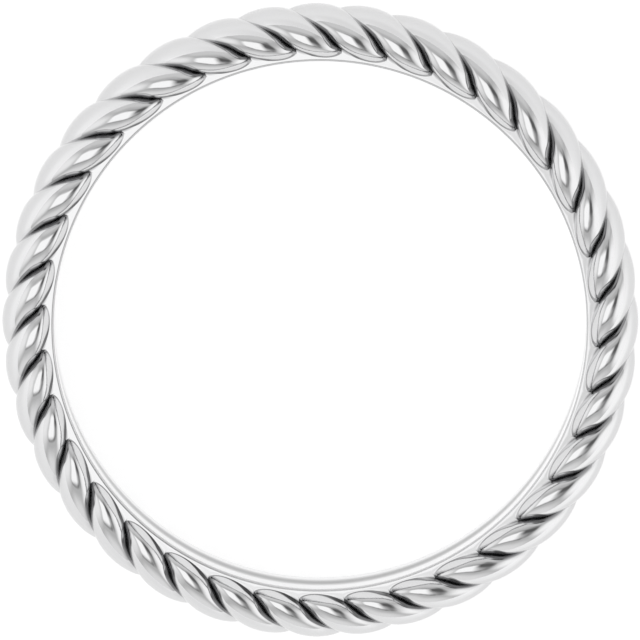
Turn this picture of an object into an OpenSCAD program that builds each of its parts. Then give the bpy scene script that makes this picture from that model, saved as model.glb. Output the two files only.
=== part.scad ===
/* [Finger hole] */
// Diameter of the finger hole at its narrowest
finger_d = 17.35; // [16:0.05:19]
// Length of the straight middle of the finger hole
land_len = 1.4; // [0.8:0.1:1.8]
// How much the hole opens from its middle to each rim, on the radius
comfort_rise = 0.03; // [0.02:0.01:0.06]

/* [Inner band] */
// Width of the smooth inner band along the finger
liner_w = 3; // [2.9:0.02:3.1]
// Flat of the inner band's rim, beyond the finger hole
rim_t = 0.04; // [0.03:0.005:0.06]
// Slope of the inner band's side between the strands' ends, in degrees from the rim's flat
shoulder_slope = 4; // [1:1:10]

/* [Rope] */
// Thickness of the whole ring, from the finger hole to the strands' crests
ring_t = 1.7; // [1.6:0.01:2]
// Thickness of the rope, whose inside is sunk in the inner band
rope_t = 1.82; // [1.7:0.01:1.9]
// Width of the rope along the finger, at its middle
rope_w = 4.14; // [3.9:0.02:4.5]
// How much wider the rope is on its finger side than on its outside, as a share
taper = 0.09; // [0:0.01:0.2]
// How fast the rope draws in again where it nears the inner band
tuck = 0.32; // [0.2:0.02:0.4]
// Roundness of the rope's section, from a fuller one to an ellipse at 1
roundness = 0.87; // [0.84:0.01:0.92]
// Strands that cross the outside, counted once round the ring
strand_count = 36; // [24:4:40]
// Height of a strand, which is half an ellipse, on the outside
strand_t = 0.3; // [0.2:0.01:0.5]
// Share of the half ellipse's width that shows before the next strand cuts it off
strand_share = 0.942; // [0.9:0.002:0.99]
// Strand spacings that a strand moves on while it goes once round the rope
strand_lay = 2.82; // [2.4:0.02:3.2]
// How far the strands lean back to cross the outside more squarely, in strand spacings
strand_bend = 0.067; // [0:0.001:0.1]
// How far the strands bunch up at the ring's four quarters, in degrees
quarter_bunch = 0.95; // [0:0.05:1.5]

/* [Hidden] */

bore_r = finger_d / 2;
core_r = bore_r + ring_t - rope_t / 2;

// Facets across one strand, and facets along it on each side of the ring's outermost line
steps = 8;
half_count = 8;
// Angle round the rope's section to a strand's last place before the rim
last_angle = 133.5;
stations = strand_count * steps;
// Stations that a strand has moved on by where it meets the rim
rim_shift = steps;

// Radii of the rim: where the hole ends, the middle of the flat, and where the flat ends
rim_in = bore_r + comfort_rise;
rim_mid = rim_in + rim_t / 2;
rim_out = rim_in + rim_t;
// Inside of the blank that the finger hole is cut from
blank_r = bore_r * 0.965;

// Distance from the rope's middle to a strand's outline, f of its width from the crest, with the crest at 1
function strand_reach(f) = 1 - 2 * strand_t / rope_t * (1 - sqrt(1 - pow(2 * f * strand_share, 2)));
// The crest's place from the rope's middle, at turn a round the section: outwards and along the finger
function rounded(v) = sign(v) * pow(abs(v), roundness);
function crest(a) = [
    rope_t / 2 * rounded(cos(a)),
    rope_w / 2 * rounded(sin(a)) * (1 - taper * cos(a)) * (1 - tuck * max(0, -cos(a) - 0.4))
];
// Distance to the inner band's rim or side along the line to the crest, with the crest at 1
function liner_reach(p) =
    let (fall = tan(shoulder_slope), away = abs(p.y) + fall * p.x)
    p.x >= 0 ? 0 :
    away <= 0 ? liner_w / 2 / abs(p.y) :
    min(liner_w / 2 / abs(p.y), (liner_w / 2 - fall * (core_r - rim_out)) / away);
// Point at station n round the ring, which need not be a whole one
function ring_point(n, r, z) =
    let (a = 360 * n / stations, b = a - quarter_bunch * sin(4 * a))
    [r * sin(b), r * cos(b), z];
// Point n across the strands, at place k along them: the points crowd towards the grooves
function strand_point(n, k) =
    let (crest_n = round(n / steps),
         f = sin(180 * (n / steps - crest_n)) / 2,
         a = k / half_count * last_angle,
         p = crest(a),
         s = max(strand_reach(f), liner_reach(p)))
    ring_point(steps * (crest_n + f + strand_lay * a / 360 - strand_bend * sin(2 * a)),
               core_r + s * p.x, s * p.y);

// Rows that follow the strands, rings of points along the rim's flats, and coarser ones inside
strands = [for (n = [0:stations - 1], k = [-half_count:half_count]) strand_point(n, k)];
rims = [for (z = [-1, 1], n = [0:stations - 1]) ring_point(n, rim_out, z * liner_w / 2)];
fan = steps / 2;
inside = [for (n = [0:fan:stations - 1]) each [
    ring_point(n, rim_mid, liner_w / 2),
    ring_point(n, blank_r, liner_w / 2),
    ring_point(n, blank_r, -liner_w / 2),
    ring_point(n, rim_mid, -liner_w / 2)
]];

function on_strand(n, k) = (n % stations) * (2 * half_count + 1) + k + half_count;
function on_rim(n, side) = len(strands) + side * stations + (n + stations) % stations;
function on_inside(n, k) = len(strands) + len(rims) + (n % (stations / fan)) * 4 + k;
strand_faces = [for (n = [0:stations - 1], k = [-half_count:half_count - 1]) each [
    [on_strand(n, k), on_strand(n + 1, k), on_strand(n, k + 1)],
    [on_strand(n + 1, k), on_strand(n + 1, k + 1), on_strand(n, k + 1)]
]];
shoulder_faces = [for (n = [0:stations - 1]) each [
    [on_strand(n, half_count), on_strand(n + 1, half_count), on_rim(n + rim_shift, 1)],
    [on_strand(n + 1, half_count), on_rim(n + 1 + rim_shift, 1), on_rim(n + rim_shift, 1)],
    [on_strand(n + 1, -half_count), on_strand(n, -half_count), on_rim(n + 1 - rim_shift, 0)],
    [on_strand(n, -half_count), on_rim(n - rim_shift, 0), on_rim(n + 1 - rim_shift, 0)]
]];
inside_faces = [for (n = [0:stations / fan - 1], k = [0:2]) each [
    [on_inside(n, k), on_inside(n + 1, k + 1), on_inside(n, k + 1)],
    [on_inside(n, k), on_inside(n + 1, k), on_inside(n + 1, k + 1)]
]];
// Each coarse step inside meets several fine ones in a fan
rim_faces = [for (n = [0:stations / fan - 1]) each [
    for (s = [n * fan:n * fan + fan - 1]) [on_rim(s, 1), on_rim(s + 1, 1), on_inside(n, 0)],
    [on_rim(n * fan + fan, 1), on_inside(n + 1, 0), on_inside(n, 0)],
    for (s = [n * fan:n * fan + fan - 1]) [on_rim(s + 1, 0), on_rim(s, 0), on_inside(n, 3)],
    [on_inside(n + 1, 3), on_rim(n * fan + fan, 0), on_inside(n, 3)]
]];

// The twisted outside on a blank with a narrower hole
module outside() {
    polyhedron(concat(strands, rims, inside),
               concat(strand_faces, shoulder_faces, inside_faces, rim_faces));
}

// The finger hole: a straight middle, and a gentle opening to each rim
module finger_hole() {
    rise_len = (liner_w - land_len) / 2;
    past = 0.5;
    cylinder(h = land_len, r = bore_r, center = true, $fn = 144);
    for (s = [0, 1])
        mirror([0, 0, s])
            translate([0, 0, land_len / 2])
                cylinder(h = rise_len + past, r1 = bore_r,
                         r2 = bore_r + comfort_rise * (rise_len + past) / rise_len, $fn = 144);
}

module twist_band() {
    color([0.86, 0.86, 0.87])
        translate([0, 0, -min([for (p = strands) p.z])])
            difference() {
                outside();
                finger_hole();
            }
}

twist_band();
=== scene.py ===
import math

import bpy
import numpy as np
from mathutils import Matrix, Vector


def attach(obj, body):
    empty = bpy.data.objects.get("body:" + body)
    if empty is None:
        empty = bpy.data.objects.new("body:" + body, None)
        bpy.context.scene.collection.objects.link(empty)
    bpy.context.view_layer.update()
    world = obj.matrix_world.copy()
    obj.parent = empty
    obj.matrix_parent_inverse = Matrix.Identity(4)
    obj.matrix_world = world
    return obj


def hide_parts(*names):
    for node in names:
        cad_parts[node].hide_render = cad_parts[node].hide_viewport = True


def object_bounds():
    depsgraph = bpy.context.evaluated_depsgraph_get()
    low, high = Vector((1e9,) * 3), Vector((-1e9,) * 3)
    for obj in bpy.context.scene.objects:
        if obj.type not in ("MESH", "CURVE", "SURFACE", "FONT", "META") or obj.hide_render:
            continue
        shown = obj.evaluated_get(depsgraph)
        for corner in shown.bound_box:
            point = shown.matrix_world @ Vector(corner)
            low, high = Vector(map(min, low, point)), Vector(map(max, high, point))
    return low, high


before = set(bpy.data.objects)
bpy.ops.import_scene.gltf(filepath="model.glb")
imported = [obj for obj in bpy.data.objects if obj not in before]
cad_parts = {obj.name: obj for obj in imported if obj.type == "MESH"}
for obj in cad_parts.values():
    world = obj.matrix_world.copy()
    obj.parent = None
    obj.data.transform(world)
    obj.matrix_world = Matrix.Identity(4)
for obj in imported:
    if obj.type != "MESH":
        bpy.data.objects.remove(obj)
cad_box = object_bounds()
scene = bpy.context.scene
scene.view_settings.view_transform = "Standard"

MM = 0.001

# Sizes of the solid, in millimetres and degrees
BORE_R = 8.675
LINER_W = 3.0
SIDE_SLOPE = 4
RING_T = 1.7
ROPE_T = 1.82
ROPE_W = 4.14
TAPER = 0.09
TUCK = 0.32
TUCK_FROM = 0.4
ROUNDNESS = 0.87
STRANDS = 36
STRAND_T = 0.3
STRAND_SHARE = 0.942
STRAND_LAY = 2.82
STRAND_BEND = 0.067
QUARTER_BUNCH = 0.95
# A fillet on the rim, finer than the solid's facets
RIM_R = 0.08

CORE_R = BORE_R + RING_T - ROPE_T / 2
MID_Z = (cad_box[0][2] + cad_box[1][2]) / 2 / MM


# The camera: almost straight down the finger hole, leaning back a little

PITCH = math.radians(7.46)
DISTANCE = 900.0
PX_MM = 30.67
PICTURE_PX = 640
SENSOR = 36
# The ring's middle is a fraction of a pixel right of the picture's middle and below it
RIGHT_PX, BELOW_PX = 0.25, 0.07
ROLL = Matrix.Rotation(math.radians(-0.12), 3, "Z")
TOWARDS = ROLL @ Vector((0, math.sin(PITCH), math.cos(PITCH)))
PICTURE_UP = ROLL @ Vector((0, math.cos(PITCH), -math.sin(PITCH)))
PICTURE_RIGHT = ROLL @ Vector((1, 0, 0))


def add_camera():
    data = bpy.data.cameras.new("Camera")
    data.sensor_width = SENSOR
    data.lens = SENSOR * DISTANCE / (PICTURE_PX / PX_MM)
    data.clip_start = 0.01
    data.clip_end = 20
    cam = bpy.data.objects.new("Camera", data)
    scene.collection.objects.link(cam)
    aim = Vector((0, 0, MID_Z))
    aim += PICTURE_UP * (BELOW_PX / PX_MM) - PICTURE_RIGHT * (RIGHT_PX / PX_MM)
    place = (aim + TOWARDS * DISTANCE) * MM
    turn = Matrix((PICTURE_RIGHT, PICTURE_UP, TOWARDS)).transposed().to_4x4()
    cam.matrix_world = Matrix.Translation(place) @ turn
    scene.camera = cam


# The ring's mesh: columns to a strand
ACROSS = 28
STATIONS = STRANDS * ACROSS
# Rows from the outermost line to the inner band, along its side, over the rim and to the hole's mid-height
HALF_ROWS, SIDE_ROWS, RIM_ROWS, HOLE_ROWS = 30, 4, 6, 7
# The rim's columns are one strand on from the outermost line's
RIM_SHIFT = ACROSS

# The grooves' bottoms are darkened with painted shade for this share of half a strand. It starts at the
# first of these turns round the section and is full at the second, in degrees
GROOVE_SHADE_SHARE = 0.28
GROOVE_SHADE_FROM, GROOVE_SHADE_FULL = 25, 85
# Painted reflections on the hole's wall, as bright rings: the height of one and how far apart they are
REFLECTION_RING_Z, REFLECTION_RING_GAP = 0.85, 2.15
# Noise cells of the faint streaks, across a strand and along it for each radian of turn
STREAKS, STREAK_SHORTNESS = 10, 1.5


def rounded(v):
    return np.sign(v) * np.abs(v) ** ROUNDNESS


def crest(turn):
    """The crest's place from the rope's middle: outwards and along the finger."""
    c, s = np.cos(turn), np.sin(turn)
    width = ROPE_W / 2 * (1 - TAPER * c) * (1 - TUCK * np.maximum(0, -c - TUCK_FROM))
    return ROPE_T / 2 * rounded(c), width * rounded(s)


def strand_reach(f):
    """A strand's outline is half an ellipse, f of its width from the crest."""
    return 1 - 2 * STRAND_T / ROPE_T * (1 - np.sqrt(1 - (2 * f * STRAND_SHARE) ** 2))


def drift(turn):
    """Columns that a strand moves on round the ring while it turns round the section."""
    return ACROSS * (STRAND_LAY * turn / (2 * math.pi) - STRAND_BEND * np.sin(2 * turn))


def ring_points(place, radius, height):
    """Points at these columns, which need not be whole; the strands bunch up at the four quarters."""
    a = 2 * math.pi * place / STATIONS
    a = a - math.radians(QUARTER_BUNCH) * np.sin(4 * a)
    return np.stack([radius * np.sin(a), radius * np.cos(a), MID_Z + height + 0 * a], -1)


def strand_columns():
    """Each column's place round the ring and its share from the crest; they crowd towards the grooves."""
    n = np.arange(STATIONS)
    middle = np.floor(n / ACROSS + 0.5)
    f = np.sin(math.pi * (n / ACROSS - middle)) / 2
    return ACROSS * (middle + f), f


def liner_section():
    """The inner band's upper half: its side, the rim's fillet and the hole to mid-height.

    Gives (radius, height) points, and the numbers of the fillet's first and last.
    """
    count, side_length = 12, 1.3
    top = LINER_W / 2 - RIM_R
    slope = math.radians(SIDE_SLOPE)
    a = np.radians(np.linspace(90 - SIDE_SLOPE, 180, count))
    fillet = np.stack([BORE_R + RIM_R + RIM_R * np.cos(a), top + RIM_R * np.sin(a)], -1)
    foot = fillet[0] + side_length * np.array([math.cos(slope), -math.sin(slope)])
    t = np.arange(count)[:, None] / count
    side = foot + (fillet[0] - foot) * t
    hole = np.concatenate([0 * t + BORE_R, top * (1 - t - 1 / count)], -1)
    return np.concatenate([side, fillet, hole]), count, 2 * count - 1


def strand_ends(reach, section, along):
    """Turn at which each column runs into the inner band, and how far along the band's section that is."""
    # Seen from the rope's middle, the section is a distance for every direction
    way = np.arctan2(section[:, 1], section[:, 0] - CORE_R)
    far = np.hypot(section[:, 0] - CORE_R, section[:, 1])
    # The turn lies between these two, in degrees, and halving the range makes it exact
    low, high = (np.full(STATIONS, math.radians(a)) for a in (95, 178))
    for _ in range(40):
        mid = (low + high) / 2
        u, v = crest(mid)
        inside = reach * np.hypot(u, v) > np.interp(np.arctan2(v, u), way, far)
        low, high = np.where(inside, mid, low), np.where(inside, high, mid)
    u, v = crest(low)
    return low, np.interp(np.arctan2(v, u), way, along)


def ring_rows():
    """Rows round the ring, each with its points and what the material reads there."""
    section, rim_start, rim_end = liner_section()
    along = np.concatenate([[0], np.cumsum(np.hypot(*np.diff(section, axis=0).T))])
    n, f = strand_columns()
    reach = strand_reach(f)
    end_turn, end_along = strand_ends(reach, section, along)
    none = np.zeros(STATIONS)

    # The streaks' noise is read on a circle, so it closes, and along the strands
    lap = 2 * math.pi * n / STATIONS
    lap_r = STREAKS * STRANDS / (2 * math.pi)

    def outside_row(k):
        turn = end_turn * k / HALF_ROWS
        u, v = crest(turn)
        # The painted groove shade fades out round the outermost line, so the grooves stay bright there
        groove_shade = np.clip((np.degrees(np.abs(turn)) - GROOVE_SHADE_FROM) / (GROOVE_SHADE_FULL - GROOVE_SHADE_FROM), 0, 1)
        groove_shade = groove_shade * groove_shade * (3 - 2 * groove_shade)
        marks = [lap_r * np.cos(lap), lap_r * np.sin(lap), STREAK_SHORTNESS * turn, none + 1]
        # Each point's share of the painted groove shade goes to the material
        return {"points": ring_points(n + drift(turn), CORE_R + reach * u, reach * v),
                "groove_shade_mix": 1 - (1 - np.minimum(1, (1 - 2 * np.abs(f)) / GROOVE_SHADE_SHARE)) * groove_shade,
                "hole_reflection_ring": none,
                "on_rim": none,
                "on_strand": np.stack(marks, -1)}

    # How far along the inner band's section each row lies, and how far its columns have settled to the rim's
    rim_s, hole_s, mid_s = along[rim_start], along[rim_end], along[-1]
    stops = [(end_along * (1 - t) + rim_s * t, t) for t in np.arange(1, SIDE_ROWS + 1) / SIDE_ROWS]
    stops += [(rim_s * (1 - t) + hole_s * t, 1) for t in np.arange(1, RIM_ROWS + 1) / RIM_ROWS]
    stops += [(hole_s * (1 - t) + mid_s * t, 1) for t in np.arange(1, HOLE_ROWS + 1) / HOLE_ROWS]

    def band_row(k, side):
        s, t = stops[k]
        radius = np.interp(s, along, section[:, 0])
        height = side * np.interp(s, along, section[:, 1])
        place = (n + drift(side * end_turn)) * (1 - t) + (n + side * RIM_SHIFT) * t
        in_hole = k >= SIDE_ROWS + RIM_ROWS - 1
        # Painted reflection rings round the hole's wall, by height
        wave = np.cos(2 * math.pi * (height - REFLECTION_RING_Z) / REFLECTION_RING_GAP)
        return {"points": ring_points(place, radius, height),
                "groove_shade_mix": none + 1,
                "hole_reflection_ring": none + in_hole * wave,
                "on_rim": none + (SIDE_ROWS < k < SIDE_ROWS + RIM_ROWS),
                "on_strand": np.zeros((STATIONS, 4))}

    upper = [band_row(k, 1) for k in range(len(stops))]
    # The lower half is its mirror image, and goes on from mid-height a whole number of columns away
    lower = [band_row(k, -1) for k in reversed(range(len(stops) - 1))]
    for row in lower:
        row["points"] = np.roll(row["points"], -2 * RIM_SHIFT, axis=0)
    return [outside_row(k) for k in range(-HALF_ROWS, HALF_ROWS + 1)] + upper + lower


def add_ring():
    rows = ring_rows()
    count = len(rows)
    j, i = np.mgrid[0:count, 0:STATIONS]
    beside = (i + 1) % STATIONS
    # Where the last row joins the first, the columns are whole strands apart again
    skip = np.where(j == count - 1, 2 * RIM_SHIFT, 0)
    after = (j + 1) % count * STATIONS
    faces = np.stack([j * STATIONS + i, after + (i + skip) % STATIONS,
                      after + (beside + skip) % STATIONS, j * STATIONS + beside], -1).reshape(-1, 4)
    points = np.concatenate([row["points"] for row in rows]) * MM
    mesh = bpy.data.meshes.new("twisted_ring")
    mesh.from_pydata(points.tolist(), [], faces.tolist())
    mesh.validate()
    mesh.update()

    # The grooves and the strands' ends on the inner band are sharp
    ends = np.zeros(len(mesh.edges) * 2, dtype=np.int64)
    mesh.edges.foreach_get("vertices", ends)
    ends = ends.reshape(-1, 2)
    j, i = ends // STATIONS, ends % STATIONS
    last = 2 * HALF_ROWS
    groove = (i[:, 0] == i[:, 1]) & (i[:, 0] % ACROSS == ACROSS // 2)
    foot = (j[:, 0] == j[:, 1]) & ((j[:, 0] == 0) | (j[:, 0] == last))
    sharp = (j <= last).all(1) & (groove | foot)
    mesh.attributes.new("sharp_edge", "BOOLEAN", "EDGE").data.foreach_set("value", sharp)
    for name, kind, field in (("groove_shade_mix", "FLOAT", "value"), ("hole_reflection_ring", "FLOAT", "value"),
                              ("on_rim", "FLOAT", "value"), ("on_strand", "FLOAT_COLOR", "color")):
        values = np.concatenate([row[name] for row in rows]).astype(np.float32).ravel()
        mesh.attributes.new(name, kind, "POINT").data.foreach_set(field, values)
    mesh.polygons.foreach_set("use_smooth", np.ones(len(mesh.polygons), bool))
    mesh.update()
    ring = bpy.data.objects.new("twisted_ring", mesh)
    scene.collection.objects.link(ring)
    return ring


class Graph:
    """A node tree, and what is worked out in it."""

    def __init__(self, tree):
        self.nodes, self.links = tree.nodes, tree.links

    def put(self, value, socket):
        """Sets a socket to a value, or links it to another node's output."""
        if isinstance(value, bpy.types.NodeSocket):
            self.links.new(value, socket)
        else:
            socket.default_value = value

    def node(self, kind, inputs, **settings):
        node = self.nodes.new("ShaderNode" + kind)
        for name, value in settings.items():
            setattr(node, name, value)
        for key, value in inputs.items():
            self.put(value, node.inputs[key])
        return node

    def math(self, kind, *values, clamp=False):
        return self.node("Math", dict(enumerate(values)), operation=kind, use_clamp=clamp).outputs[0]

    def tag(self, name):
        return self.node("Attribute", {}, attribute_name=name).outputs

    def noise(self, where, scale, detail):
        return self.node("TexNoise", {"Vector": where, "Scale": scale, "Detail": detail}).outputs["Fac"]

    def ramp(self, value, start, end):
        return self.node("MapRange", {"Value": value, "From Min": start, "From Max": end},
                         interpolation_type="SMOOTHSTEP").outputs["Result"]


def polished_metal():
    mat = bpy.data.materials.new("polished_white_metal")
    mat.use_nodes = True
    graph = Graph(mat.node_tree)
    shader = graph.nodes["Principled BSDF"].inputs
    shader["Metallic"].default_value = 1.0
    where = graph.node("TexCoord", {}).outputs["Object"]

    # Painted shade: the base colour is darker in the grooves' bottoms
    groove_shade, polished = (0.26, 0.26, 0.265, 1), (0.68, 0.68, 0.685, 1)
    # A Mix node's inputs 6 and 7 are its two colours
    tones = {0: graph.tag("groove_shade_mix")["Fac"], 6: groove_shade, 7: polished}
    tone = graph.node("Mix", tones, data_type="RGBA").outputs[2]
    # Painted reflections: the hole's wall has soft bright and dull rings in its colour and tint, which show
    # most at a glancing angle
    ring = graph.tag("hole_reflection_ring")["Fac"]
    swing, glance = 0.25, 0.86
    lighter = graph.math("MULTIPLY_ADD", ring, swing, 1.0)
    colour = graph.node("VectorMath", {0: tone, "Scale": lighter}, operation="SCALE").outputs["Vector"]
    graph.put(colour, shader["Base Color"])
    graph.put(graph.math("MULTIPLY_ADD", ring, swing, glance, clamp=True), shader["Specular Tint"])

    # Patches of slightly uneven polish, about a millimetre across, and a rim that is only brushed
    patches, brushed = 900, 0.45
    spread = {"Value": graph.noise(where, patches, 4), "From Min": 0.3, "From Max": 0.7,
              "To Min": 0.035, "To Max": 0.075}
    uneven = graph.node("MapRange", spread).outputs["Result"]
    graph.put(graph.math("MULTIPLY_ADD", graph.tag("on_rim")["Fac"], brushed, uneven), shader["Roughness"])

    # Hair-fine polishing marks, and faint streaks along the strands, three times as high
    fine_marks, streak_height = 5200, 3.0
    strand = graph.tag("on_strand")
    streaks = graph.math("MULTIPLY", graph.noise(strand["Vector"], 1, 2), strand["Alpha"])
    marks = graph.math("MULTIPLY_ADD", streaks, streak_height, graph.noise(where, fine_marks, 3))
    bump = graph.node("Bump", {"Strength": 0.03, "Distance": 0.00002, "Height": marks}).outputs["Normal"]
    graph.put(bump, shader["Normal"])
    return mat


# The floor and the light

def add_floor():
    """White acrylic, lit softly from below."""
    reach = 1.5
    mesh = bpy.data.meshes.new("floor")
    corners = [(-reach, -reach, 0), (reach, -reach, 0), (reach, reach, 0), (-reach, reach, 0)]
    mesh.from_pydata(corners, [], [(0, 1, 2, 3)])
    floor = bpy.data.objects.new("floor", mesh)
    scene.collection.objects.link(floor)
    mat = bpy.data.materials.new("white_acrylic")
    mat.use_nodes = True
    graph = Graph(mat.node_tree)
    shader = graph.nodes["Principled BSDF"].inputs
    shader["Base Color"].default_value = (0.5, 0.5, 0.5, 1)
    shader["Roughness"].default_value = 0.9
    shader["Specular IOR Level"].default_value = 0.1
    shader["Emission Color"].default_value = (1, 1, 1, 1)

    # The glow changes from one radius to the next: less all round, but more towards the sides and the front
    glow, from_r, full_r = 0.72, 0.0135, 0.018
    all_round, at_sides, at_front = -0.1, 0.24, 0.05
    side_way, front_way = -20, -60
    x, y, _ = graph.node("SeparateXYZ", {0: graph.node("TexCoord", {}).outputs["Object"]}).outputs
    away = graph.math("SQRT", graph.math("MULTIPLY_ADD", x, x, graph.math("MULTIPLY", y, y)))
    safe = graph.math("MAXIMUM", away, 0.001)

    def towards(degrees):
        a = math.radians(degrees)
        along = graph.math("MULTIPLY_ADD", x, math.cos(a), graph.math("MULTIPLY", y, math.sin(a)))
        return graph.math("DIVIDE", along, safe)

    side = towards(side_way)
    extra = graph.math("MULTIPLY_ADD", graph.math("MULTIPLY", side, side), at_sides, all_round)
    extra = graph.math("MULTIPLY_ADD", towards(front_way), at_front, extra)
    strength = graph.math("MULTIPLY_ADD", extra, graph.ramp(away, from_r, full_r), glow)
    graph.put(strength, shader["Emission Strength"])
    mesh.materials.append(mat)


class Tent(Graph):
    """A white light tent as the world: a plain tone with soft-edged panels of light on its sides."""

    def __init__(self, tone):
        world = bpy.data.worlds.new("light_tent")
        scene.world = world
        world.use_nodes = True
        super().__init__(world.node_tree)
        self.way = self.node("TexCoord", {}).outputs["Generated"]
        self.light = tone

    def along(self, axis):
        return self.node("VectorMath", {0: self.way, 1: axis}, operation="DOT_PRODUCT").outputs["Value"]

    def panel(self, out, right, up, *, box, soft, light):
        """Sets the light inside a box on the tent's side, with soft edges.

        The box has a low and a high edge towards right, then towards up, as tangents of the angle from out.
        """
        # The tangents grow without end towards a right angle from out, so the panel fades away there
        ahead, fade_start, fade_end = self.along(out), 0.12, 0.02
        safe = self.math("MAXIMUM", ahead, 0.05)
        x = self.math("DIVIDE", self.along(right), safe)
        y = self.math("DIVIDE", self.along(up), safe)
        mask = self.ramp(ahead, fade_end, fade_start)
        for value, low, high in ((x, *box[:2]), (y, *box[2:])):
            mask = self.math("MULTIPLY", mask, self.ramp(value, low - soft, low + soft))
            mask = self.math("MULTIPLY", mask, self.ramp(value, high + soft, high - soft))
        self.light = self.math("MULTIPLY_ADD", mask, self.math("SUBTRACT", light, self.light), self.light)

    def done(self):
        colour = self.node("CombineColor", {k: self.light for k in range(3)}).outputs[0]
        self.put(colour, self.nodes["Background"].inputs["Color"])


def add_light():
    top, right, up = TOWARDS, PICTURE_RIGHT, PICTURE_UP
    tent = Tent(0.63)
    # The sides, brightest at their middles
    tent.panel(right, -top, up, box=(-0.9, 2.1, -0.85, 0.6), soft=0.5, light=1.31)
    tent.panel(-right, top, up, box=(-2.8, 1.0, -0.5, 0.7), soft=0.5, light=1.16)
    tent.panel(up, right, -top, box=(-0.9, 0.7, -0.8, 0.5), soft=0.3, light=0.82)
    tent.panel(-up, right, top, box=(-0.8, 0.6, -1.0, 0.7), soft=0.5, light=0.99)
    # The top: a white panel with a dark edge below it, and dark columns beside it
    tent.panel(top, right, up, box=(-0.78, 0.39, -0.65, -0.45), soft=0.1, light=0.25)
    tent.panel(top, right, up, box=(0.38, 0.74, -0.6, 0.96), soft=0.19, light=0.31)
    tent.panel(top, right, up, box=(-0.18, 0.78, 0.0, 0.61), soft=0.2, light=0.14)
    tent.panel(top, right, up, box=(-0.78, 0.14, -0.5, 0.5), soft=0.16, light=1.36)
    tent.done()


add_camera()
ring = add_ring()
ring.data.materials.append(polished_metal())
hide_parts("twist_band")
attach(ring, "root")
add_floor()
add_light()
